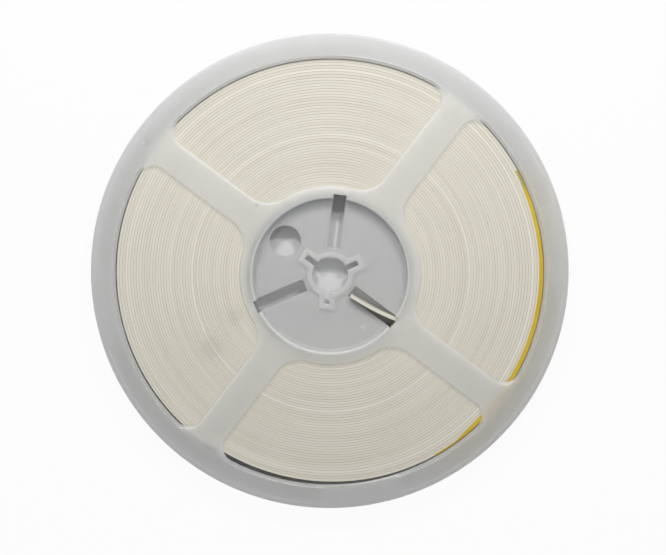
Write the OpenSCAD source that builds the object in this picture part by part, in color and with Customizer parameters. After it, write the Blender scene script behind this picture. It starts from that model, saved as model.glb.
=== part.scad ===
// Seven-inch plastic reel with a full load of 8 mm paper carrier tape.
// Two identical moulded halves meet back to back at the middle of the hub.
// Origin: where the arbor hole's axis meets the underside of the rear flange. +Z is the axis.

/* [Reel] */
// Outside diameter of the flanges
reel_d = 178; // [170:1:180]
// Thickness of each flange
flange_t = 1.2; // [1:0.1:1.6]
// Clear width between the flanges
flange_gap = 9; // [8.4:0.1:9.9]
// Outside diameter of the hub that the tape is wound on
hub_d = 60; // [54:1:62]
// Thickness of the hub wall
hub_wall = 1.1; // [1:0.1:1.5]
// Thickness of each half's web
web_t = 0.9; // [0.8:0.1:1.2]
// Radius that rounds the mouth of the hub recess
mouth_round = 0.8; // [0.4:0.1:1]
// Radius in the corner between web and hub wall
web_fillet = 0.8; // [0.4:0.1:1.2]
// Chamfer on the rim's two edges
rim_chamfer = 0.3; // [0.1:0.1:0.5]

/* [Flange windows] */
// Radius of a window's inner edge
window_r_in = 33.8; // [33:0.1:36]
// Radius of a window's outer edge
window_r_out = 80; // [76:0.5:82]
// Width of the spokes between the windows
spoke_w = 11.7; // [10:0.1:14]
// Radius of a window's two inner corners
window_corner_in = 10.5; // [6:0.5:11]
// Radius of a window's two outer corners
window_corner_out = 5.8; // [3:0.1:8]
// Width of the 45 degree chamfer round each window, on the outer face
window_chamfer = 1; // [0.4:0.1:1]

/* [Rim] */
// Inner radius of the sunk panels in the rim
panel_r_in = 81.4; // [81.2:0.1:83]
// Outer radius of the sunk panels
panel_r_out = 87.2; // [85:0.1:87.6]
// Depth of the sunk panels
panel_depth = 0.25; // [0.1:0.05:0.4]
// Angle of each full-thickness pad between two panels
pad_angle = 20; // [12:1:30]
// Diameter of the gate mark in one panel
gate_d = 3; // [2:0.5:4]
// Depth of the gate mark below the panel
gate_depth = 0.15; // [0.1:0.05:0.3]

/* [Hub web] */
// Diameter of the arbor hole
arbor_d = 13.4; // [12.8:0.1:13.5]
// Width of the three keyways of the arbor hole
keyway_w = 2; // [1.5:0.1:2.5]
// Radius that the keyways reach
keyway_r = 11.2; // [9.8:0.1:11.5]
// Width of the raised border round the arbor hole and keyways
border_w = 1.9; // [1.5:0.1:2.4]
// Height of that border above the web
border_h = 0.6; // [0.3:0.1:1.5]
// Width of the three slots that take the start of the tape
slot_w = 4.8; // [4:0.1:5.5]
// Radius of the slots' inner end
slot_r_in = 10.2; // [10:0.1:14]
// Diameter of the round hole in the web
web_hole_d = 11.7; // [8:0.1:13]
// Distance from the axis to the middle of the round hole
web_hole_r = 21; // [20:0.1:22]
// Height of the lap that centres one half in the other
lap_h = 1; // [0.6:0.1:1.5]
// Play between the lap's tongue and its seat
lap_play = 0.05; // [0.03:0.01:0.1]

/* [Carrier tape] */
// Width of the carrier tape
tape_w = 8; // [7.9:0.1:8.1]
// Thickness of one turn, cover tape included
tape_t = 1.015; // [0.95:0.005:1.1]
// Number of turns on the hub
turns = 49; // [30:1:49]
// Width of the groove between two turns
groove_w = 0.3; // [0.1:0.05:0.4]
// Depth of that groove
groove_depth = 0.2; // [0.1:0.05:0.4]
// Direction in which the last turn ends, behind a spoke
tape_end_angle = 240; // [240:1:244]
// Angle over which the turn below comes up to full radius, past the end
rise_angle = 80; // [60:5:90]

/* [End tape] */
// Thickness of the yellow adhesive tape
strip_t = 0.15; // [0.1:0.05:0.2]
// Width of its edge that is folded over the face of the roll
fold_w = 1.7; // [1.5:0.1:3]
// Direction of the adhesive tape's straight end
strip_end_angle = 36.5; // [20:0.5:40]
// Direction in which the folded edge starts to run out
strip_taper_angle = -33; // [-36:1:-24]
// Direction of the adhesive tape's other end
strip_start_angle = -53; // [-56:1:-48]

/* [Hidden] */

$fn = 120;
eps = 0.002;              // overlap that keeps a rounding from only touching its edges
cut = 2;                  // how far cutting tools run past a face

// The reel
reel_r = reel_d / 2;
hub_r = hub_d / 2;
recess_r = hub_r - hub_wall;
reel_w = 2 * flange_t + flange_gap;
middle_z = reel_w / 2;
lap_r = recess_r + hub_wall / 2;    // where the lap's tongue and seat meet
web_z = middle_z - web_t;           // depth of the web below the outer face

// Directions. Slots and keyways alternate round the hub, and one spoke in each pair
// lies on the axis about which a half turns over to become the other half.
flip_angle = 150;
spoke_angles = [for (i = [0:3]) flip_angle + i * 90];
keyway_angles = [for (i = [0:2]) flip_angle + i * 120];
slot_angles = [for (i = [0:2]) flip_angle + 60 + i * 120];
tail_angle = slot_angles[1];        // the slot that holds the start of the tape

// The tape
tape_z = flange_t;                  // the roll lies on the rear flange
roll_r = hub_r + turns * tape_t;
face_z = tape_z + tape_w;
tail_lean = (slot_w - tape_t) / 2 - 0.25;

// ---------------------------------------------------------------- plane shapes

function polar(r, a) = [r * cos(a), r * sin(a)];

// What a rounding of radius r takes off a square corner at the origin, in the quadrant +X +Y
module corner_waste(r) {
    difference() {
        translate([-eps, -eps]) square(r + eps);
        translate([r, r]) circle(r + eps);
    }
}

// Sector between two directions less than 180 degrees apart, out to past radius r
module sector(r, a0, a1) {
    reach = r / cos((a1 - a0) / 2) + cut;
    polygon([[0, 0], polar(reach, a0), polar(reach, (a0 + a1) / 2), polar(reach, a1)]);
}

// Cone or cylinder about the axis whose surface stands grow0 outside radius r at height z0 and
// grow1 outside it at z1, and runs on past both. out is -1 where outside means a smaller radius.
module leaning_round(r, out, z0, z1, grow0, grow1) {
    past = 0.2;
    slope = (grow1 - grow0) / (z1 - z0);
    translate([0, 0, z0 - past])
        cylinder(
            h = z1 - z0 + 2 * past,
            r1 = r + out * (grow0 - slope * past),
            r2 = r + out * (grow1 + slope * past)
        );
}

// All that lies beyond the edge of the spoke on +X, on the side of +Y
module beyond_spoke(z0, z1, grow0, grow1) {
    rotate([90, 0, 90])
        linear_extrude(reel_r + 2 * cut)
            polygon([
                [spoke_w / 2 - grow0, z0], [reel_r, z0],
                [reel_r, z1], [spoke_w / 2 - grow1, z1]
            ]);
}

// What is filled outside the rounding between the edge of the spoke on +X and an arc about the
// axis. out is 1 where that arc is the window's outer edge and -1 where it is the inner one.
// The rounding is larger by over, so that it crosses both edges and doesn't only touch them.
module window_corner(arc_r, round_r, out, z0, z1, grow0, grow1, over) {
    most = max(grow0, grow1);
    from_edge = spoke_w / 2 + round_r;
    from_axis = arc_r - out * round_r;
    along = sqrt(pow(from_axis, 2) - pow(from_edge, 2));
    lean = atan2(from_edge, along);
    past_edge = spoke_w / 2 - most - 1;
    difference() {
        translate([0, 0, z0 - 0.1])
            linear_extrude(z1 - z0 + 0.2)
                polygon([
                    [along, from_edge],
                    [along, past_edge],
                    [along + out * (round_r + most) * (1 + sin(lean)), past_edge],
                    polar(arc_r + out * (most + 2), lean)
                ]);
        translate([along, from_edge])
            leaning_round(round_r + over, 1, z0, z1, grow0, grow1);
    }
}

// One window, between the spokes that lie 45 degrees to either side of +X. Its sides stand grow0
// outside the window's outline at height z0, and grow1 outside it at z1.
module window(z0, z1, grow0, grow1, over) {
    difference() {
        intersection() {
            leaning_round(window_r_out, 1, z0, z1, grow0, grow1);
            rotate(-45) beyond_spoke(z0, z1, grow0, grow1);
            mirror([0, 1]) rotate(-45) beyond_spoke(z0, z1, grow0, grow1);
        }
        leaning_round(window_r_in, -1, z0, z1, grow0, grow1);
        for (side = [0, 1])
            mirror([0, side])
                rotate(-45) {
                    window_corner(window_r_out, window_corner_out, 1, z0, z1, grow0, grow1, over);
                    window_corner(window_r_in, window_corner_in, -1, z0, z1, grow0, grow1, over);
                }
    }
}

// A window right through the flange, with its chamfer on the outer face
module chamfered_window() {
    past = 0.1;
    window(-cut, flange_t + cut, 0, 0, eps);
    window(-past, window_chamfer + past, window_chamfer + past, -past, 2.5 * eps);
}

// Arbor hole with its keyways, widened on every side by grow
module arbor_outline(grow) {
    circle(arbor_d / 2 + grow);
    for (a = keyway_angles)
        rotate(a)
            translate([0, -keyway_w / 2 - grow])
                square([keyway_r + grow, keyway_w + 2 * grow]);
}

// Slots that run from beside the arbor hole out through the hub wall
module slot_outlines() {
    slot_l = hub_r + 0.4 - slot_r_in;
    for (a = slot_angles)
        rotate(a)
            translate([slot_r_in, -slot_w / 2])
                square([slot_l, slot_w]);
}

// ---------------------------------------------------------------- reel halves

// Section of a half through flange, hub wall and web, with the outer face at y = 0
module half_section() {
    difference() {
        union() {
            translate([recess_r, 0]) square([reel_r - recess_r, flange_t]);
            translate([recess_r, 0]) square([hub_wall, middle_z]);
            translate([0, web_z]) square([hub_r, web_t]);
            translate([recess_r, web_z]) rotate(180) corner_waste(web_fillet);
        }
        translate([recess_r, 0]) corner_waste(mouth_round);
        for (y = [0, flange_t])
            translate([reel_r, y]) rotate(45) square(rim_chamfer * sqrt(2), center = true);
    }
}

// Sunk panels in the rim, one at the end of each spoke, with the gate mark in one of them
module rim_panels() {
    panel_angle = 90 - pad_angle;
    for (a = spoke_angles)
        rotate(a - panel_angle / 2)
            rotate_extrude(angle = panel_angle)
                translate([panel_r_in, -cut])
                    square([panel_r_out - panel_r_in, panel_depth + cut]);
    rotate(flip_angle)
        translate([(panel_r_in + panel_r_out) / 2, 0, -cut])
            cylinder(d = gate_d, h = panel_depth + gate_depth + cut);
}

// Part of a ring that starts in direction a0: one half turn of the lap
module lap_ring(r_in, r_out, a0, sweep, h) {
    rotate(a0)
        rotate_extrude(angle = sweep)
            translate([r_in, 0])
                square([r_out - r_in, h]);
}

// One moulded half, outer face down. Half of the lap is a tongue, the other half its seat.
module reel_half() {
    difference() {
        union() {
            difference() {
                rotate_extrude() half_section();
                for (a = spoke_angles)
                    rotate(a + 45) chamfered_window();
                translate([0, 0, middle_z - lap_h])
                    lap_ring(lap_r, hub_r + cut, flip_angle - 180, 180, lap_h + cut);
            }
            translate([0, 0, web_z - border_h])
                linear_extrude(border_h + web_t / 2) arbor_outline(border_w);
            translate([0, 0, web_z])
                lap_ring(lap_r + lap_play, hub_r, flip_angle + 1, 178, web_t + lap_h - lap_play);
        }
        translate([0, 0, -cut]) {
            linear_extrude(reel_w + 2 * cut) {
                arbor_outline(0);
                slot_outlines();
            }
            rotate(flip_angle)
                translate([web_hole_r, 0]) cylinder(d = web_hole_d, h = reel_w);
        }
        rim_panels();
    }
}

module rear_reel_half() {
    color("gainsboro") reel_half();
}

// The same half turned over about the axis that its gate mark lies on
module front_reel_half() {
    color("whitesmoke")
        translate([0, 0, reel_w])
            rotate(flip_angle) rotate([180, 0, 0]) rotate(-flip_angle)
                reel_half();
}

// ---------------------------------------------------------------- tape

// The three corners of a groove between two turns, in section
function groove(r, z, depth) = [[r - groove_w / 2, z], [r, z + depth], [r + groove_w / 2, z]];

// Section of the roll: a groove on both faces wherever one turn lies on the next
module roll_section() {
    joints = [for (i = [1:turns - 1]) hub_r + i * tape_t];
    under = [for (r = joints) each groove(r, tape_z, groove_depth)];
    over = [for (r = joints) each groove(r, face_z, -groove_depth)];
    polygon(concat(
        [[hub_r, tape_z]], under, [[roll_r, tape_z], [roll_r, face_z]],
        [for (i = [len(over) - 1:-1:0]) over[i]], [[hub_r, face_z]]
    ));
}

// What is missing past the end of the last turn, until the turn below is out at full radius.
// The turn below runs on an off-centre circle, at its lowest behind the tape's end.
module past_the_end() {
    behind = 15;
    drop = tape_t + 0.2;
    off_centre = drop / (cos(behind) - cos(behind + rise_angle));
    circle_r = roll_r + off_centre * cos(behind + rise_angle);
    difference() {
        sector(roll_r, tape_end_angle, tape_end_angle + rise_angle + 10);
        translate(polar(off_centre, tape_end_angle - behind + 180)) circle(circle_r);
    }
}

// The start of the tape, bent through a slot from one side at its inner end to the other
// at the hub wall. It reaches half into the first turn.
module tape_start() {
    bend_r = 90;
    inner = [slot_r_in + 0.7, -tail_lean];
    outer = [hub_r + tape_t / 2, tail_lean];
    chord = outer - inner;
    normal = [-chord.y, chord.x] / norm(chord);
    centre = (inner + outer) / 2 + normal * sqrt(pow(bend_r, 2) - pow(norm(chord) / 2, 2));
    intersection() {
        difference() {
            translate(centre) circle(bend_r + tape_t / 2);
            translate(centre) circle(bend_r - tape_t / 2);
        }
        translate([inner.x, -slot_w / 2]) square([outer.x - inner.x, slot_w]);
    }
}

// Paper carrier tape, wound from the hub outwards
module carrier_tape_roll() {
    color("beige") {
        difference() {
            rotate_extrude() roll_section();
            translate([0, 0, tape_z - cut])
                linear_extrude(tape_w + 2 * cut) past_the_end();
        }
        translate([0, 0, tape_z])
            linear_extrude(tape_w) rotate(tail_angle) tape_start();
    }
}

// Adhesive tape on the outside of the last turn, with its edge folded over the roll's face.
// The fold is narrower for its first few degrees, and at the other end it runs out to nothing.
module yellow_end_tape() {
    outer_r = roll_r + strip_t;
    inner_r = roll_r - fold_w;
    top = face_z + strip_t;
    below = 0.05;                   // how far the cuts reach below the fold
    narrow_w = 0.7;
    narrow_angle = 5;
    color("gold")
        difference() {
            rotate(strip_start_angle)
                rotate_extrude(angle = strip_end_angle - strip_start_angle)
                    polygon([
                        [roll_r, tape_z], [outer_r, tape_z], [outer_r, top],
                        [inner_r, top], [inner_r, face_z], [roll_r, face_z]
                    ]);
            rotate(strip_end_angle - narrow_angle)
                rotate_extrude(angle = 2 * narrow_angle)
                    translate([inner_r - cut, face_z - below])
                        square([cut + narrow_w, cut]);
            translate([0, 0, face_z - below])
                linear_extrude(cut)
                    polygon([
                        [0, 0],
                        polar(inner_r - 0.3, strip_taper_angle + 1),
                        polar(roll_r + 1, strip_taper_angle - 14),
                        polar(roll_r + cut, strip_start_angle - 2)
                    ]);
        }
}

rear_reel_half();
front_reel_half();
carrier_tape_roll();
yellow_end_tape();
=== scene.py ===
"""Looks of a seven-inch plastic reel with a full load of paper carrier tape, on a pale table."""

import logging
import math
from dataclasses import dataclass, field
from enum import Enum

import bmesh
import bpy
from mathutils import Matrix, Vector, noise

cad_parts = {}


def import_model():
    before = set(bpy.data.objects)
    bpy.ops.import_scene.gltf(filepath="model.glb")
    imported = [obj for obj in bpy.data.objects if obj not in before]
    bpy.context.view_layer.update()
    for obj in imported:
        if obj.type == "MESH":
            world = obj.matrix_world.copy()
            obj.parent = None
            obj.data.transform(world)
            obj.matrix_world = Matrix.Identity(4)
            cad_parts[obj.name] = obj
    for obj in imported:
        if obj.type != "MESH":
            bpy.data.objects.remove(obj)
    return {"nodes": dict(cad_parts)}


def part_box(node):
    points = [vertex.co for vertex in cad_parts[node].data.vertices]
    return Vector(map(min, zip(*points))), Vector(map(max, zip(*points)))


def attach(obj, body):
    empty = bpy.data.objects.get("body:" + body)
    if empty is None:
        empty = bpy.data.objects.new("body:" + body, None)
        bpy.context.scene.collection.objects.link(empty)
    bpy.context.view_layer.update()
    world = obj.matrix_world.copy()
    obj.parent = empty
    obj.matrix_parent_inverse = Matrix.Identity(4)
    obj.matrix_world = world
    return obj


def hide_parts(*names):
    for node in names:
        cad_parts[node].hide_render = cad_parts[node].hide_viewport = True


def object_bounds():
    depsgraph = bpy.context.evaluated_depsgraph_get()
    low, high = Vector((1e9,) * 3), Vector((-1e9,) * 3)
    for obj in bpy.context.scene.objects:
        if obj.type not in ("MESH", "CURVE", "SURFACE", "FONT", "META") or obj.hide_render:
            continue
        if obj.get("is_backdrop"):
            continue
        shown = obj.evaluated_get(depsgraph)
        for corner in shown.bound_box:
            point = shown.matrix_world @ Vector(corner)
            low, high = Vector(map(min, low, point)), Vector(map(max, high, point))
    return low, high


LOG = logging.getLogger("tape_reel")
MM = 0.001

Colour = tuple[float, float, float]


def tone(red: int, green: int, blue: int) -> Colour:
    """Linear colour of a display colour, by the sRGB curve.

    Args:
        red: Display value from 0 to 255.
        green: Display value from 0 to 255.
        blue: Display value from 0 to 255.

    Returns:
        The colour as three linear values from 0 to 1.
    """
    knee, slope, offset, power = 0.04045, 12.92, 0.055, 2.4
    shares = (red / 255, green / 255, blue / 255)
    return tuple(s / slope if s <= knee else ((s + offset) / (1 + offset)) ** power for s in shares)


def heading(azimuth: float, elevation: float = 0.0) -> Vector:
    """Unit vector of a direction.

    Args:
        azimuth: Angle from +X towards +Y, in degrees.
        elevation: Angle above the table, in degrees.

    Returns:
        The unit vector.
    """
    turn, rise = math.radians(azimuth), math.radians(elevation)
    flat = math.cos(rise)
    return Vector((math.cos(turn) * flat, math.sin(turn) * flat, math.sin(rise)))


class Slot(Enum):
    """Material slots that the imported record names."""

    REEL = "reel_plastic"
    PAPER = "tape_paper"
    FILM = "adhesive_tape"


class Wall(Enum):
    """Walls of a moulded half, numbered as their finishes are in its list of materials."""

    FLAT = 0
    WEB = 1
    SLOPE = 2
    LIP = 3


# ---------------------------------------------------------------- shader building


class Graph:
    """Small helper that adds and links the nodes of one node tree."""

    # Sockets of the Mix node for colours, whose names are not unique
    MIX_SHARE, MIX_FIRST, MIX_SECOND, MIX_COLOUR = 0, 6, 7, 2

    def __init__(self, tree: bpy.types.NodeTree) -> None:
        """Starts from an empty tree."""
        self.tree = tree
        tree.nodes.clear()

    def add(self, kind: str, **settings: object) -> bpy.types.Node:
        """Adds a node.

        Args:
            kind: Blender's name of the node type.
            **settings: Properties of the node, by name.

        Returns:
            The new node.
        """
        node = self.tree.nodes.new(kind)
        for name, value in settings.items():
            setattr(node, name, value)
        return node

    def link(self, source: bpy.types.NodeSocket, target: bpy.types.NodeSocket) -> None:
        """Links an output to an input."""
        self.tree.links.new(source, target)

    def feed(self, node: bpy.types.Node, name: str | int, value: object) -> None:
        """Sets a socket to a constant or links an output to it.

        Args:
            node: Node that has the socket.
            name: Name or index of the input.
            value: A constant, or the output to link.
        """
        socket = node.inputs[name]
        if isinstance(value, bpy.types.NodeSocket):
            self.link(value, socket)
        else:
            socket.default_value = value

    def math(
        self, operation: str, first: object, second: object = 0.0, clamp: bool = False
    ) -> bpy.types.NodeSocket:
        """Adds a Math node.

        Args:
            operation: Name of the operation.
            first: First constant or output.
            second: Second constant or output.
            clamp: Whether the result stays between 0 and 1.

        Returns:
            The node's output.
        """
        node = self.add("ShaderNodeMath", operation=operation, use_clamp=clamp)
        self.feed(node, 0, first)
        self.feed(node, 1, second)
        return node.outputs[0]

    def vector_math(
        self, operation: str, first: object, second: object, result: str
    ) -> bpy.types.NodeSocket:
        """Adds a Vector Math node.

        Args:
            operation: Name of the operation.
            first: First constant or output.
            second: Second constant or output.
            result: Name of the output that is wanted, Vector or Value.

        Returns:
            That output.
        """
        node = self.add("ShaderNodeVectorMath", operation=operation)
        self.feed(node, 0, first)
        self.feed(node, 1, second)
        return node.outputs[result]

    def ramp(
        self,
        value: object,
        low: float,
        high: float,
        to_low: float = 0.0,
        to_high: float = 1.0,
    ) -> bpy.types.NodeSocket:
        """Adds a Map Range node with smooth steps.

        Args:
            value: Output that is mapped.
            low: Where the range starts.
            high: Where the range ends.
            to_low: Result at the start.
            to_high: Result at the end.

        Returns:
            The node's output.
        """
        node = self.add("ShaderNodeMapRange", interpolation_type="SMOOTHSTEP")
        self.feed(node, "Value", value)
        self.feed(node, "From Min", low)
        self.feed(node, "From Max", high)
        self.feed(node, "To Min", to_low)
        self.feed(node, "To Max", to_high)
        return node.outputs["Result"]

    def blend(self, share: object, first: object, second: object) -> bpy.types.NodeSocket:
        """Adds a Mix node for colours.

        Args:
            share: Share of the second colour.
            first: First colour or output.
            second: Second colour or output.

        Returns:
            The node's colour output.
        """
        node = self.add("ShaderNodeMix", data_type="RGBA")
        self.feed(node, self.MIX_SHARE, share)
        for index, value in ((self.MIX_FIRST, first), (self.MIX_SECOND, second)):
            self.feed(node, index, (*value, 1.0) if isinstance(value, tuple) else value)
        return node.outputs[self.MIX_COLOUR]

    def noise(
        self, vector: object, scale: object, detail: float = 2.0, roughness: float = 0.5
    ) -> bpy.types.NodeSocket:
        """Adds a Noise Texture.

        Args:
            vector: Coordinates that it reads.
            scale: Its scale in cycles per unit of them.
            detail: Number of finer octaves.
            roughness: Strength of the finer octaves.

        Returns:
            The node's value output.
        """
        node = self.add("ShaderNodeTexNoise")
        self.feed(node, "Vector", vector)
        self.feed(node, "Scale", scale)
        self.feed(node, "Detail", detail)
        self.feed(node, "Roughness", roughness)
        return node.outputs[0]

    def place(self) -> bpy.types.NodeSocket:
        """Adds the object's own coordinates."""
        return self.add("ShaderNodeTexCoord").outputs["Object"]

    def group(self, tree: bpy.types.NodeTree, values: dict[str, object]) -> bpy.types.Node:
        """Adds a shared node group.

        Args:
            tree: Tree of the group.
            values: Constants or outputs for its inputs, by name.

        Returns:
            The group's node.
        """
        node = self.add("ShaderNodeGroup", node_tree=tree)
        for name, value in values.items():
            self.feed(node, name, value)
        return node

    def uneven(self, cloud_scale: float, grain_scale: float) -> bpy.types.Node:
        """Adds the uneven tone that every finish has, with outputs Clouds and Grain."""
        return self.group(mottle_group(), {"Cloud Scale": cloud_scale, "Grain Scale": grain_scale})

    def bump(self, height: object, strength: float, depth: float) -> bpy.types.NodeSocket:
        """Adds a Bump node.

        Args:
            height: Output that gives the height.
            strength: Share of the relief that shows.
            depth: Depth of the relief.

        Returns:
            The node's normal output.
        """
        node = self.add("ShaderNodeBump")
        self.feed(node, "Strength", strength)
        self.feed(node, "Distance", depth)
        self.feed(node, "Height", height)
        return node.outputs["Normal"]

    def mix_shaders(
        self, share: object, first: bpy.types.Node, second: bpy.types.Node
    ) -> bpy.types.Node:
        """Adds a Mix Shader node.

        Args:
            share: Share of the second shader.
            first: Node of the first shader.
            second: Node of the second shader.

        Returns:
            The node.
        """
        node = self.add("ShaderNodeMixShader")
        self.feed(node, 0, share)
        self.link(first.outputs[0], node.inputs[1])
        self.link(second.outputs[0], node.inputs[2])
        return node

    def finish(self, shader: bpy.types.Node, kind: str = "ShaderNodeOutputMaterial") -> None:
        """Ends the tree in an output node."""
        self.link(shader.outputs[0], self.add(kind).inputs["Surface"])


def new_material(name: str) -> tuple[bpy.types.Material, Graph]:
    """Makes an empty material.

    Args:
        name: Name of the material.

    Returns:
        The material and the helper for its tree.
    """
    material = bpy.data.materials.new(name)
    material.use_nodes = True
    return material, Graph(material.node_tree)


def mottle_group() -> bpy.types.NodeTree:
    """Uneven tone that every finish has: broad clouds and a fine grain.

    Returns:
        The node group, made at its first use.
    """
    name = "uneven_tone"
    if name in bpy.data.node_groups:
        return bpy.data.node_groups[name]
    tree = bpy.data.node_groups.new(name, "ShaderNodeTree")
    for label, usual in (("Cloud Scale", 40.0), ("Grain Scale", 2500.0)):
        socket = tree.interface.new_socket(label, in_out="INPUT", socket_type="NodeSocketFloat")
        socket.default_value = usual
    for label in ("Clouds", "Grain"):
        tree.interface.new_socket(label, in_out="OUTPUT", socket_type="NodeSocketFloat")
    graph = Graph(tree)
    source = graph.add("NodeGroupInput")
    place = graph.place()
    clouds = graph.noise(place, source.outputs["Cloud Scale"], detail=3.0)
    grain = graph.noise(place, source.outputs["Grain Scale"], detail=2.0)
    result = graph.add("NodeGroupOutput")
    graph.link(clouds, result.inputs["Clouds"])
    graph.link(grain, result.inputs["Grain"])
    return tree


def mark_group() -> bpy.types.NodeTree:
    """Round soft-edged mark on a surface, for smudges and specks and for spots of painted shade and
    highlight.

    Returns:
        The node group, made at its first use.
    """
    name = "round_mark"
    if name in bpy.data.node_groups:
        return bpy.data.node_groups[name]
    tree = bpy.data.node_groups.new(name, "ShaderNodeTree")
    tree.interface.new_socket("Centre", in_out="INPUT", socket_type="NodeSocketVector")
    tree.interface.new_socket("Radius", in_out="INPUT", socket_type="NodeSocketFloat")
    tree.interface.new_socket("Mask", in_out="OUTPUT", socket_type="NodeSocketFloat")
    graph = Graph(tree)
    source = graph.add("NodeGroupInput")
    place = graph.place()
    away = graph.vector_math("DISTANCE", place, source.outputs["Centre"], "Value")
    speckle = graph.noise(place, scale=1500.0, detail=3.0)
    ragged = graph.ramp(speckle, low=0.3, high=0.7, to_low=0.6, to_high=1.4)
    reach = graph.math("DIVIDE", graph.math("MULTIPLY", away, ragged), source.outputs["Radius"])
    result = graph.add("NodeGroupOutput")
    mask = graph.ramp(reach, low=0.4, high=1.0, to_low=1.0, to_high=0.0)
    graph.link(mask, result.inputs["Mask"])
    return tree


# ---------------------------------------------------------------- finishes


@dataclass(frozen=True)
class Mark:
    """A mark on the upper face, by its place on the reel."""

    radius: float
    azimuth: float
    size: float
    colour: Colour
    strength: float

    def place(self, height: float) -> Vector:
        """Centre of the mark at a height above the table."""
        return heading(self.azimuth) * self.radius + Vector((0, 0, height))


WEB_MARKS = (Mark(23.5 * MM, 309.0, 1.2 * MM, tone(252, 252, 252), 0.6),)
FLANGE_SPECKS_AND_DIMPLE_SHADING = (
    Mark(29.5 * MM, 53.3, 0.5 * MM, tone(90, 92, 95), 0.9),
    Mark(38.0 * MM, 142.9, 0.9 * MM, tone(190, 190, 188), 0.6),
    # Dimple of an ejector pin on the rim: a grey spot of painted shade and a white speck of painted
    # highlight.
    Mark(83.5 * MM, 150.6, 1.6 * MM, tone(205, 206, 205), 0.5),
    Mark(84.6 * MM, 151.2, 0.7 * MM, tone(255, 255, 255), 0.6),
)
PAPER_MARKS = (
    Mark(52.2 * MM, 218.4, 6.0 * MM, tone(196, 191, 179), 0.35),
    Mark(39.3 * MM, 210.5, 4.5 * MM, tone(196, 191, 179), 0.3),
)
# Darker olive patch at the film's narrow start, painted shade of its wrinkle.
FILM_WRINKLE_SHADE = (Mark(79.3 * MM, 34.2, 4.6 * MM, tone(172, 160, 80), 0.85),)


def marked(graph: Graph, colour: object, marks: tuple[Mark, ...], height: float) -> object:
    """Lays marks over a colour: smudges and specks, and spots of painted shade and highlight.

    Args:
        graph: Graph of the material.
        colour: Colour output below the marks.
        marks: The marks.
        height: Height of the surface that they are on.

    Returns:
        The colour output with the marks.
    """
    for mark in marks:
        values = {"Centre": mark.place(height), "Radius": mark.size}
        mask = graph.group(mark_group(), values).outputs["Mask"]
        colour = graph.blend(graph.math("MULTIPLY", mask, mark.strength), colour, mark.colour)
    return colour


@dataclass(frozen=True)
class ReelPlastic:
    """Milky moulded plastic that light soaks through, half gloss."""

    name: str = "milky_plastic"
    colour: Colour = tone(234, 234, 233)
    clouded: Colour = tone(229, 230, 229)
    roughness: float = 0.4
    cloud_scale: float = 30.0
    grain_scale: float = 1800.0
    grain_depth: float = 0.05 * MM
    grain_share: float = 0.08
    refraction: float = 1.49
    scatter: float = 22 * MM
    scatter_tint: Colour = (1.0, 0.98, 0.95)
    soaked: float = 1.0
    clear: float = 0.08
    clear_tint: Colour = (0.93, 0.94, 0.95)
    through_web: float = 0.65
    through_spokes: float = 0.88
    through_rim: float = 0.05
    web_edge: tuple[float, float] = (28.5 * MM, 31.5 * MM)
    rim_edge: tuple[float, float] = (80.0 * MM, 82.5 * MM)
    marks: tuple[Mark, ...] = ()
    marks_z: float = 11.4 * MM

    def build(self) -> bpy.types.Material:
        """Makes the material.

        Returns:
            The material.
        """
        material, graph = new_material(self.name)
        uneven = graph.uneven(self.cloud_scale, self.grain_scale)
        clouds = uneven.outputs["Clouds"]
        shader = graph.add("ShaderNodeBsdfPrincipled", subsurface_method="RANDOM_WALK")
        colour = graph.blend(clouds, self.clouded, self.colour)
        graph.feed(shader, "Base Color", marked(graph, colour, self.marks, self.marks_z))
        soft = graph.ramp(clouds, 0.2, 0.8, self.roughness - 0.05, self.roughness + 0.06)
        graph.feed(shader, "Roughness", soft)
        graph.feed(shader, "Subsurface Weight", self.soaked)
        graph.feed(shader, "Subsurface Radius", self.scatter_tint)
        graph.feed(shader, "Subsurface Scale", self.scatter)
        graph.feed(shader, "IOR", self.refraction)
        graph.feed(shader, "Transmission Weight", self.clear)
        relief = graph.bump(uneven.outputs["Grain"], self.grain_share, self.grain_depth)
        graph.feed(shader, "Normal", relief)
        clear = graph.add("ShaderNodeBsdfTransparent")
        graph.feed(clear, "Color", (*self.clear_tint, 1.0))
        shadow = graph.add("ShaderNodeLightPath").outputs["Is Shadow Ray"]
        share = graph.math("MULTIPLY", shadow, self._through(graph))
        graph.finish(graph.mix_shaders(share, shader, clear))
        return material

    def _through(self, graph: Graph) -> bpy.types.NodeSocket:
        """Adds the share of light that each wall lets through, most of it over the tape.

        Args:
            graph: Graph of the material.

        Returns:
            The output with the share.
        """
        flat = graph.vector_math("MULTIPLY", graph.place(), (1.0, 1.0, 0.0), "Vector")
        radius = graph.vector_math("LENGTH", flat, (0.0, 0.0, 0.0), "Value")
        inner = graph.ramp(radius, *self.web_edge, self.through_web, self.through_spokes)
        outside = graph.ramp(radius, *self.rim_edge)
        kept = graph.math("MULTIPLY", inner, graph.math("SUBTRACT", 1.0, outside))
        return graph.math("ADD", kept, graph.math("MULTIPLY", outside, self.through_rim))


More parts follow.
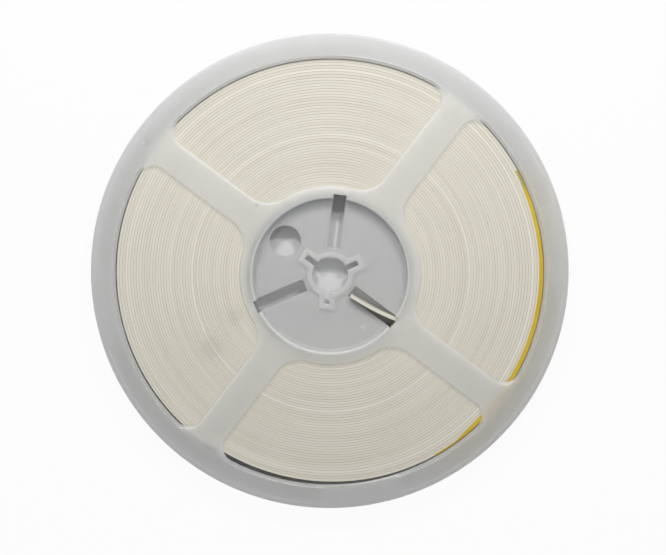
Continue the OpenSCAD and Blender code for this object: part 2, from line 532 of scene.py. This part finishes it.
@dataclass(frozen=True)
class PaperTape:
    """Edges of wound paper tape, with a tone of its own on each turn."""

    colour: Colour = tone(229, 225, 212)
    dark: Colour = tone(218, 213, 199)
    pale: Colour = tone(240, 236, 224)
    # Colour of the dust and painted shade in the gaps between the turns.
    groove: Colour = tone(140, 134, 118)
    roughness: float = 0.8
    gloss: float = 0.25
    cloud_scale: float = 60.0
    grain_scale: float = 3200.0
    grain_depth: float = 0.06 * MM
    grain_share: float = 0.25
    # Listed turns are painted lighter and darker than the rest.
    pale_turns: tuple[float, ...] = (21.7, 45.0)
    darker_turns: tuple[float, ...] = (20.3, 46.2, 9.6)
    turn_share: float = 0.5
    marks_z: float = 9.2 * MM

    def build(self) -> bpy.types.Material:
        """Makes the material.

        Returns:
            The material.
        """
        material, graph = new_material("wound_paper")
        uneven = graph.uneven(self.cloud_scale, self.grain_scale)
        winding = graph.add("ShaderNodeAttribute", attribute_name="winding").outputs["Vector"]
        along = graph.noise(winding, scale=1.0, detail=3.0, roughness=0.6)
        colour = graph.blend(graph.ramp(along, 0.3, 0.7), self.dark, self.colour)
        turn = graph.add("ShaderNodeAttribute", attribute_name="turn").outputs["Fac"]
        for numbers, odd in ((self.pale_turns, self.pale), (self.darker_turns, self.dark)):
            for number in numbers:
                colour = graph.blend(self._near(graph, turn, number), colour, odd)
        clouds = graph.ramp(uneven.outputs["Clouds"], 0.3, 0.7, 0.0, 0.25)
        colour = marked(graph, graph.blend(clouds, colour, self.colour), PAPER_MARKS, self.marks_z)
        # Dust and painted shade in the gaps between the turns, varying in strength along the
        # winding.
        groove = graph.add("ShaderNodeAttribute", attribute_name="groove").outputs["Fac"]
        closed = graph.noise(winding, scale=2.3, detail=2.0, roughness=0.5)
        groove = graph.math("MULTIPLY", groove, graph.ramp(closed, 0.35, 0.62, 0.1, 1.0))
        shader = graph.add("ShaderNodeBsdfPrincipled")
        graph.feed(shader, "Base Color", graph.blend(groove, colour, self.groove))
        grain = uneven.outputs["Grain"]
        rough = graph.ramp(grain, 0.3, 0.7, self.roughness - 0.06, self.roughness + 0.06)
        graph.feed(shader, "Roughness", rough)
        graph.feed(shader, "Specular IOR Level", self.gloss)
        graph.feed(shader, "Normal", graph.bump(grain, self.grain_share, self.grain_depth))
        graph.finish(shader)
        return material

    def _near(self, graph: Graph, turn: object, number: float) -> bpy.types.NodeSocket:
        """Adds a mask of the turn whose number is near the given one."""
        away = graph.math("ABSOLUTE", graph.math("SUBTRACT", turn, number))
        return graph.ramp(away, low=0.35, high=0.75, to_low=self.turn_share, to_high=0.0)


@dataclass(frozen=True)
class YellowFilm:
    """Thin adhesive tape with a low sheen."""

    colour: Colour = tone(212, 183, 50)
    dark: Colour = tone(198, 168, 32)
    roughness: float = 0.4
    cloud_scale: float = 90.0
    grain_scale: float = 1500.0
    wave_depth: float = 0.1 * MM
    wave_share: float = 0.3
    marks_z: float = 9.35 * MM

    def build(self) -> bpy.types.Material:
        """Makes the material.

        Returns:
            The material.
        """
        material, graph = new_material("yellow_film")
        uneven = graph.uneven(self.cloud_scale, self.grain_scale)
        clouds, grain = uneven.outputs["Clouds"], uneven.outputs["Grain"]
        shader = graph.add("ShaderNodeBsdfPrincipled")
        colour = graph.blend(graph.ramp(clouds, 0.3, 0.7), self.dark, self.colour)
        graph.feed(shader, "Base Color", marked(graph, colour, FILM_WRINKLE_SHADE, self.marks_z))
        rough = graph.ramp(grain, 0.3, 0.7, self.roughness - 0.05, self.roughness + 0.1)
        graph.feed(shader, "Roughness", rough)
        graph.feed(shader, "Normal", graph.bump(clouds, self.wave_share, self.wave_depth))
        graph.finish(shader)
        return material


# ---------------------------------------------------------------- pieces


def finish_piece(
    piece: bpy.types.Object, slot: Slot, material: bpy.types.Material, *nodes: str
) -> None:
    """Dresses a piece and lets it stand for CAD nodes.

    Args:
        piece: The finished object.
        slot: Record slot that its finish comes from; not used.
        material: Its material.
        *nodes: CAD nodes that it stands for.
    """
    piece.data.materials.clear()
    piece.data.materials.append(material)
    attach(piece, "root")
    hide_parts(*nodes)
    LOG.info("%s: %d faces", piece.name, len(piece.data.polygons))


def add_object(name: str, mesh: bmesh.types.BMesh) -> bpy.types.Object:
    """Makes an object of a bmesh and frees the bmesh.

    Args:
        name: Name of the object.
        mesh: Its geometry, in the row frame.

    Returns:
        The object, at the origin.
    """
    data = bpy.data.meshes.new(name)
    mesh.to_mesh(data)
    mesh.free()
    if data.has_custom_normals:
        data.attributes.remove(data.attributes["custom_normal"])
    piece = bpy.data.objects.new(name, data)
    bpy.context.scene.collection.objects.link(piece)
    return piece


def shade(piece: bpy.types.Object, angle: float) -> None:
    """Shades a piece smooth, apart from its sharp edges.

    Args:
        piece: The piece.
        angle: Angle past which an edge is sharp, in degrees.
    """
    for polygon in piece.data.polygons:
        polygon.use_smooth = True
    piece.data.set_sharp_from_angle(angle=math.radians(angle))


@dataclass
class ReelHalf:
    """One moulded half: flange, hub wall and web in one piece."""

    node: str
    name: str
    joint_gap: float
    joint_z: float = 5.7 * MM
    web_r: float = 29.72 * MM
    # Sloped faces between these radii take the lip finish, whose darker colour is painted shade.
    lip_r: tuple[float, float] = (79.5 * MM, 81.35 * MM)
    panel_z: float = 11.15 * MM
    outward: int = 1
    draft: float = 0.3 * MM
    sloped: tuple[float, float] = (0.2, 0.97)
    upright: float = 0.1
    facing: float = 0.7
    merge: float = 0.002 * MM
    smooth_angle: float = 50.0

    def build(
        self, source: bpy.types.Object, plastics: dict[Wall, bpy.types.Material]
    ) -> bpy.types.Object:
        """Makes the half from its CAD shape.

        Args:
            source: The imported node.
            plastics: Finish of each kind of wall.

        Returns:
            The piece.
        """
        mesh = bmesh.new()
        mesh.from_mesh(source.data)
        bmesh.ops.remove_doubles(mesh, verts=mesh.verts, dist=self.merge)
        joint = [v for v in mesh.verts if abs(v.co.z - self.joint_z) < self.merge]
        bmesh.ops.translate(mesh, verts=joint, vec=(0, 0, self.joint_gap))
        self._slope_panel_walls(mesh)
        piece = add_object(self.name, mesh)
        shade(piece, self.smooth_angle)
        even = piece.modifiers.new("flat_faces_stay_flat", "WEIGHTED_NORMAL")
        even.mode = "FACE_AREA"
        even.weight = 100
        even.keep_sharp = True
        finish_piece(piece, Slot.REEL, plastics[Wall.FLAT], self.node)
        for wall in (Wall.WEB, Wall.SLOPE, Wall.LIP):
            piece.data.materials.append(plastics[wall])
        for polygon in piece.data.polygons:
            polygon.material_index = self._wall(polygon).value
        return piece

    def _wall(self, face: bpy.types.MeshPolygon) -> Wall:
        """Tells which kind of wall a face is part of.

        Args:
            face: A face of the half.

        Returns:
            The kind of wall.
        """
        reach = face.center.xy.length
        if self.sloped[0] < face.normal.z * self.outward < self.sloped[1]:
            return Wall.LIP if self.lip_r[0] < reach < self.lip_r[1] else Wall.SLOPE
        return Wall.WEB if reach < self.web_r else Wall.FLAT

    def _slope_panel_walls(self, mesh: bmesh.types.BMesh) -> None:
        """Moves the foot of the sunk panels' walls inwards, so that the walls slope.

        Args:
            mesh: The half.
        """
        moves = []
        for foot in (v for v in mesh.verts if abs(v.co.z - self.panel_z) < self.merge):
            ring = foot.co.xy.to_3d().normalized()
            round_walls, end_walls = Vector(), Vector()
            for wall in foot.link_faces:
                above = (wall.calc_center_median().z - self.panel_z) * self.outward > self.merge
                if above and abs(wall.normal.z) < self.upright:
                    if abs(wall.normal.dot(ring)) > self.facing:
                        round_walls += wall.normal
                    else:
                        end_walls += wall.normal
            moves.append((foot, round_walls.normalized() + end_walls.normalized()))
        for foot, move in moves:
            foot.co += move * self.draft


@dataclass
class TapeRoll:
    """Wound carrier tape, turn after turn from the hub out, and its start in a hub slot."""

    core_r: float = 30 * MM
    pitch: float = 1.015 * MM
    turns: int = 48
    groove_half: float = 0.035 * MM
    groove_depth: float = 0.1 * MM
    edge: float = 0.02 * MM
    end_angle: float = 240.0
    rise_angle: float = 80.0
    loose_turns: int = 6
    steps: int = 180
    wander: float = 0.05 * MM
    wander_pace: float = 1.7
    wander_row: float = 3.1
    winding_pace: float = 2.2
    winding_apart: float = 5.0
    slot_angle: float = 330.0
    slot_w: float = 4.8 * MM
    slot_play: float = 0.25 * MM
    start_r: float = 10.9 * MM
    start_bend_r: float = 90 * MM
    start_steps: int = 24
    same_r: float = 0.01 * MM
    merge: float = 0.001 * MM
    smooth_angle: float = 35.0

    def build(self, paper: bpy.types.Material) -> bpy.types.Object:
        """Makes the roll.

        Args:
            paper: Its finish.

        Returns:
            The piece.
        """
        low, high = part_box("carrier_tape_roll")
        mesh = bmesh.new()
        self._section(mesh, low.z, high.z)
        profile = len(mesh.verts)
        bmesh.ops.spin(
            mesh,
            geom=mesh.verts[:] + mesh.edges[:],
            cent=(0, 0, 0),
            axis=(0, 0, 1),
            angle=math.tau,
            steps=self.steps,
            use_merge=False,
        )
        winding = mesh.verts.layers.float_vector.new("winding")
        turn = mesh.verts.layers.float.new("turn")
        # Mask of the dust and painted shade in the gaps between turns: 1 on the groove bottoms.
        groove = mesh.verts.layers.float.new("groove")
        mesh.verts.index_update()
        for vertex in mesh.verts:
            inside = min(high.z - vertex.co.z, vertex.co.z - low.z)
            vertex[groove] = 1.0 if inside > self.groove_depth / 2 else 0.0
            side = 1 if vertex.co.z > (low.z + high.z) / 2 else -1
            length = self._wind(vertex, vertex.index // profile, side)
            vertex[winding] = Vector((length * self.winding_pace, 0.0, side * self.winding_apart))
            vertex[turn] = length + 0.5
        bmesh.ops.remove_doubles(mesh, verts=mesh.verts, dist=self.merge)
        bmesh.ops.holes_fill(mesh, edges=[e for e in mesh.edges if e.is_boundary], sides=0)
        self._start(mesh, low.z, high.z)
        bmesh.ops.recalc_face_normals(mesh, faces=mesh.faces)
        piece = add_object("wound_tape", mesh)
        shade(piece, self.smooth_angle)
        finish_piece(piece, Slot.PAPER, paper, "carrier_tape_roll")
        return piece

    def _section(self, mesh: bmesh.types.BMesh, bottom: float, top: float) -> None:
        """Draws the section where the tape ends, with a tooth for each turn on both faces.

        Args:
            mesh: An empty mesh, which gets the section's outline.
            bottom: Height of the roll's lower face.
            top: Height of its upper face.
        """
        across = (
            (self.groove_half, -self.groove_depth),
            (self.groove_half + self.edge, 0.0),
            (self.pitch - self.groove_half - self.edge, 0.0),
            (self.pitch - self.groove_half, -self.groove_depth),
            (self.pitch + self.groove_half, -self.groove_depth),
        )
        start = [mesh.verts.new((self.core_r + x, 0, top + z)) for x, z in across]
        edges = [mesh.edges.new(pair) for pair in zip(start, start[1:])]
        tooth = start + edges
        for turn in range(1, self.turns):
            copy = bmesh.ops.duplicate(mesh, geom=tooth)["geom"]
            moved = [part for part in copy if isinstance(part, bmesh.types.BMVert)]
            bmesh.ops.translate(mesh, verts=moved, vec=(turn * self.pitch, 0, 0))
        bmesh.ops.remove_doubles(mesh, verts=mesh.verts, dist=self.merge)
        last = max(mesh.verts, key=lambda v: v.co.x)
        bmesh.ops.delete(mesh, geom=[last], context="VERTS")
        middle = Matrix.Translation((0, 0, (top + bottom) / 2))
        whole = mesh.verts[:] + mesh.edges[:]
        bmesh.ops.mirror(mesh, geom=whole, matrix=middle.inverted(), axis="Z", merge_dist=0)
        ends = [v for v in mesh.verts if len(v.link_edges) == 1]
        for side in (min, max):
            reach = side(v.co.x for v in ends)
            mesh.edges.new([v for v in ends if abs(v.co.x - reach) < self.same_r])
        turn_to_end = Matrix.Rotation(math.radians(self.end_angle), 3, "Z")
        bmesh.ops.rotate(mesh, verts=mesh.verts, cent=(0, 0, 0), matrix=turn_to_end)

    def _wind(self, vertex: bmesh.types.BMVert, step: int, side: int) -> float:
        """Moves a vertex of the rings out onto the spiral and a little along the axis.

        Args:
            vertex: A vertex of the spun section.
            step: Number of spin steps that it is past the tape's end.
            side: 1 on the upper face and -1 on the lower one.

        Returns:
            How many turns of tape lie before it.
        """
        share = step / self.steps
        radius = math.hypot(vertex.co.x, vertex.co.y)
        place = (radius - self.core_r) / self.pitch
        number = math.floor(place)
        rise = min(1.0, share * 360 / self.rise_angle)
        rise = rise * rise * (3 - 2 * rise)
        loose = max(0.0, 1 - (self.turns - 1 - place) / self.loose_turns)
        out = radius + self.pitch * (share * (1 - loose) + rise * loose)
        length = number + share
        row = Vector((length * self.wander_pace, self.wander_row, side))
        vertex.co.x *= out / radius
        vertex.co.y *= out / radius
        vertex.co.z += self.wander * noise.noise(row)
        return length

    def _start(self, mesh: bmesh.types.BMesh, bottom: float, top: float) -> None:
        """Adds the start of the tape, bent through the hub slot from one side to the other.

        Args:
            mesh: The roll.
            bottom: Height of the tape's lower edge.
            top: Height of its upper edge.
        """
        lean = (self.slot_w - self.pitch) / 2 - self.slot_play
        inner = Vector((self.start_r, -lean, 0))
        outer = Vector((self.core_r + self.pitch / 2, lean, 0))
        chord = outer - inner
        away = math.sqrt(self.start_bend_r**2 - (chord.length / 2) ** 2)
        centre = (inner + outer) / 2 + Vector((-chord.y, chord.x, 0)).normalized() * away
        out = (inner - centre).normalized()
        half = self.pitch / 2
        corners = (inner - out * half, inner + out * half)
        low = [mesh.verts.new((*corner.xy, bottom)) for corner in corners]
        high = [mesh.verts.new((*corner.xy, top)) for corner in corners]
        face = mesh.faces.new((low[0], low[1], high[1], high[0]))
        made = bmesh.ops.spin(
            mesh,
            geom=[face, *face.edges, *face.verts],
            cent=centre,
            axis=(0, 0, 1),
            angle=2 * math.asin(chord.length / 2 / self.start_bend_r),
            steps=self.start_steps,
            use_merge=False,
        )["geom_last"]
        reached = {*face.verts, *(v for v in made if isinstance(v, bmesh.types.BMVert))}
        wave = list(reached)
        while wave:
            beside = (e.other_vert(v) for v in wave for e in v.link_edges)
            wave = [v for v in beside if v not in reached]
            reached.update(wave)
        turn = Matrix.Rotation(math.radians(self.slot_angle), 3, "Z")
        bmesh.ops.rotate(mesh, verts=list(reached), cent=(0, 0, 0), matrix=turn)


@dataclass
class EndTape:
    """Adhesive tape on the end of the roll, folded over its edge."""

    node: str = "yellow_end_tape"
    roll_r: float = 79.735 * MM
    film: float = 0.15 * MM
    tail_azimuth: float = -44.0
    tail_rise: float = 0.12 * MM
    merge: float = 0.002 * MM
    smooth_angle: float = 30.0
    widths: tuple[tuple[float, float], ...] = (
        (-53.0, 0.4 * MM),
        (-44.7, 0.4 * MM),
        (-43.0, 1.5 * MM),
        (-25.0, 1.5 * MM),
        (5.0, 1.36 * MM),
        (31.4, 1.2 * MM),
        (31.6, 0.75 * MM),
        (36.5, 0.75 * MM),
    )

    def width(self, azimuth: float) -> float:
        """Width of the folded edge.

        Args:
            azimuth: Direction from the axis, in degrees.

        Returns:
            The width.
        """
        for (low, first), (high, second) in zip(self.widths, self.widths[1:]):
            if azimuth <= high:
                share = max(0.0, (azimuth - low) / (high - low))
                return first + (second - first) * share
        return self.widths[-1][1]

    def build(self, source: bpy.types.Object, film: bpy.types.Material) -> bpy.types.Object:
        """Makes the strip from its CAD shape.

        Args:
            source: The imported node.
            film: Its finish.

        Returns:
            The piece.
        """
        mesh = bmesh.new()
        mesh.from_mesh(source.data)
        bmesh.ops.remove_doubles(mesh, verts=mesh.verts, dist=self.merge)
        fold_foot = max(v.co.z for v in mesh.verts) - 2 * self.film
        for vertex in (v for v in mesh.verts if v.co.z > fold_foot):
            radius = vertex.co.xy.length
            azimuth = math.degrees(math.atan2(vertex.co.y, vertex.co.x))
            inner = self.roll_r - self.width(azimuth)
            tail = azimuth < self.tail_azimuth
            if radius < inner or (tail and radius < self.roll_r + self.film / 2):
                vertex.co.xy *= inner / radius
            if tail:
                vertex.co.z = max(vertex.co.z, fold_foot + self.film + self.tail_rise)
        piece = add_object("end_strip", mesh)
        shade(piece, self.smooth_angle)
        finish_piece(piece, Slot.FILM, film, self.node)
        return piece


# ---------------------------------------------------------------- studio


@dataclass
class Studio:
    """Table, lamps, world and camera."""

    lens: float = 70.92
    sensor: float = 36.0
    clip: tuple[float, float] = (0.01, 50.0)
    distance: float = 488.7 * MM
    lean: float = 6.8
    lean_azimuth: float = 102.0
    up_azimuth: float = 97.0
    aim_right: float = 1.03 * MM
    aim_up: float = -0.57 * MM
    lamp_azimuths: tuple[float, float] = (114.0, 76.0)
    lamp_elevation: float = 46.0
    lamp_distance: float = 0.5
    lamp_size: float = 0.042
    lamp_power: float = 0.89
    ambient: float = 0.365
    floor_half: float = 3.0
    floor_drop: float = 0.05 * MM
    floor_tone: Colour = tone(225, 225, 226)
    white_share: float = 0.95
    shade_r: float = 86 * MM
    shade_blur: float = 5 * MM

    def camera(self, centre: Vector) -> None:
        """Sets up the camera over the reel.

        Args:
            centre: Middle of the reel's upper face.
        """
        up = heading(self.up_azimuth)
        right = heading(self.up_azimuth - 90)
        aim = centre + right * self.aim_right + up * self.aim_up
        back = heading(self.lean_azimuth, 90 - self.lean)
        data = bpy.data.cameras.new("view")
        data.lens = self.lens
        data.sensor_width = self.sensor
        data.clip_start, data.clip_end = self.clip
        camera = bpy.data.objects.new("view", data)
        side = up.cross(back).normalized()
        upright = back.cross(side).normalized()
        axes = Matrix((side, upright, back)).transposed()
        camera.matrix_world = Matrix.Translation(aim + back * self.distance) @ axes.to_4x4()
        bpy.context.scene.collection.objects.link(camera)
        bpy.context.scene.camera = camera

    def lamps(self, centre: Vector) -> None:
        """Sets up the two round lamps.

        Args:
            centre: Point that they face.
        """
        for number, azimuth in enumerate(self.lamp_azimuths):
            data = bpy.data.lights.new(f"lamp_{number}", "AREA")
            data.shape = "DISK"
            data.size = self.lamp_size
            data.energy = self.lamp_power
            lamp = bpy.data.objects.new(data.name, data)
            direction = heading(azimuth, self.lamp_elevation)
            lamp.location = centre + direction * self.lamp_distance
            lamp.rotation_euler = direction.to_track_quat("Z", "Y").to_euler()
            bpy.context.scene.collection.objects.link(lamp)

    def world(self) -> None:
        """Makes the even world light, white where it is looked at."""
        world = bpy.data.worlds.new("studio")
        world.use_nodes = True
        graph = Graph(world.node_tree)
        strength = graph.ramp(self._seen(graph), 0.0, 1.0, self.ambient, 1.0)
        light = graph.add("ShaderNodeBackground")
        graph.feed(light, "Color", (1.0, 1.0, 1.0, 1.0))
        graph.feed(light, "Strength", strength)
        graph.finish(light, "ShaderNodeOutputWorld")
        bpy.context.scene.world = world

    @staticmethod
    def _seen(graph: Graph) -> bpy.types.NodeSocket:
        """Adds a mask that is 1 on rays that look at a surface, through it or by a mirror.

        Args:
            graph: Graph of the material or the world.

        Returns:
            The output with the mask.
        """
        path = graph.add("ShaderNodeLightPath")
        seen = graph.math("ADD", path.outputs["Is Camera Ray"], path.outputs["Is Glossy Ray"])
        return graph.math("ADD", seen, path.outputs["Is Transmission Ray"], clamp=True)

    def table(self) -> None:
        """Makes the pale table, white where it is looked at, apart from under the reel."""
        mesh = bmesh.new()
        bmesh.ops.create_grid(mesh, x_segments=1, y_segments=1, size=self.floor_half)
        bmesh.ops.translate(mesh, verts=mesh.verts, vec=(0, 0, -self.floor_drop))
        table = add_object("table", mesh)
        material, graph = new_material("table_top")
        reach = graph.vector_math("LENGTH", graph.place(), (0.0, 0.0, 0.0), "Value")
        near = self.shade_r - self.shade_blur
        outside = graph.ramp(reach, near, self.shade_r, 0.0, self.white_share)
        lit = graph.add("ShaderNodeBsdfDiffuse")
        graph.feed(lit, "Color", (*self.floor_tone, 1.0))
        white = graph.add("ShaderNodeEmission")
        share = graph.math("MULTIPLY", self._seen(graph), outside)
        graph.finish(graph.mix_shaders(share, lit, white))
        table.data.materials.append(material)
        table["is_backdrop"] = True

    def build(self, centre: Vector) -> None:
        """Makes the whole studio.

        Args:
            centre: Middle of the reel's upper face.
        """
        self.camera(centre)
        self.lamps(centre)
        self.world()
        self.table()
        bpy.context.scene.view_settings.view_transform = "Standard"


# ---------------------------------------------------------------- all of it


def rear_half() -> ReelHalf:
    """The half that the reel lies on."""
    return ReelHalf("rear_reel_half", "rear_half", -0.03 * MM, panel_z=0.25 * MM, outward=-1)


def front_half() -> ReelHalf:
    """The upper half, the same moulding turned over."""
    return ReelHalf("front_reel_half", "front_half", 0.03 * MM)


@dataclass
class TapeReel:
    """The whole reel with its load."""

    rear: ReelHalf = field(default_factory=rear_half)
    front: ReelHalf = field(default_factory=front_half)
    roll: TapeRoll = field(default_factory=TapeRoll)
    strip: EndTape = field(default_factory=EndTape)

    @staticmethod
    def plastics() -> dict[Wall, bpy.types.Material]:
        """Makes the finishes of the two halves.

        Returns:
            The finish of each kind of wall.
        """
        finishes = {
            Wall.FLAT: ReelPlastic(marks=FLANGE_SPECKS_AND_DIMPLE_SHADING),
            # The web is the same plastic as the flange; its darker, warmer colour is painted shade,
            # as the web lies over a shaded hollow.
            Wall.WEB: ReelPlastic(
                name="milky_web_painted_shade",
                colour=tone(226, 225, 222),
                clouded=tone(221, 221, 218),
                scatter=11.5 * MM,
                marks=WEB_MARKS,
                marks_z=6.6 * MM,
            ),
            Wall.SLOPE: ReelPlastic(name="milky_edge", soaked=0.75),
            # The lip is the same plastic as the flange; its darker colour is painted shade on the
            # chamfer of the windows' outer edges.
            Wall.LIP: ReelPlastic(
                name="milky_lip_painted_shade",
                colour=tone(199, 200, 198),
                clouded=tone(193, 195, 193),
                roughness=0.25,
                soaked=0.7,
            ),
        }
        return {wall: finish.build() for wall, finish in finishes.items()}

    def build(self, nodes: dict[str, bpy.types.Object]) -> None:
        """Makes and dresses every piece.

        Args:
            nodes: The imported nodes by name.
        """
        plastics = self.plastics()
        self.rear.build(nodes[self.rear.node], plastics)
        self.front.build(nodes[self.front.node], plastics)
        self.roll.build(PaperTape().build())
        self.strip.build(nodes[self.strip.node], YellowFilm().build())


def main() -> None:
    """Builds the reel and the studio over the top of the CAD parts."""
    logging.basicConfig(level=logging.INFO, format="%(name)s: %(message)s")
    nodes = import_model()["nodes"]
    cad_box = [list(corner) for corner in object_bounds()]
    TapeReel().build(nodes)
    Studio().build(Vector((0, 0, cad_box[1][2])))
    bpy.context.view_layer.update()


if __name__ == "__main__":
    main()
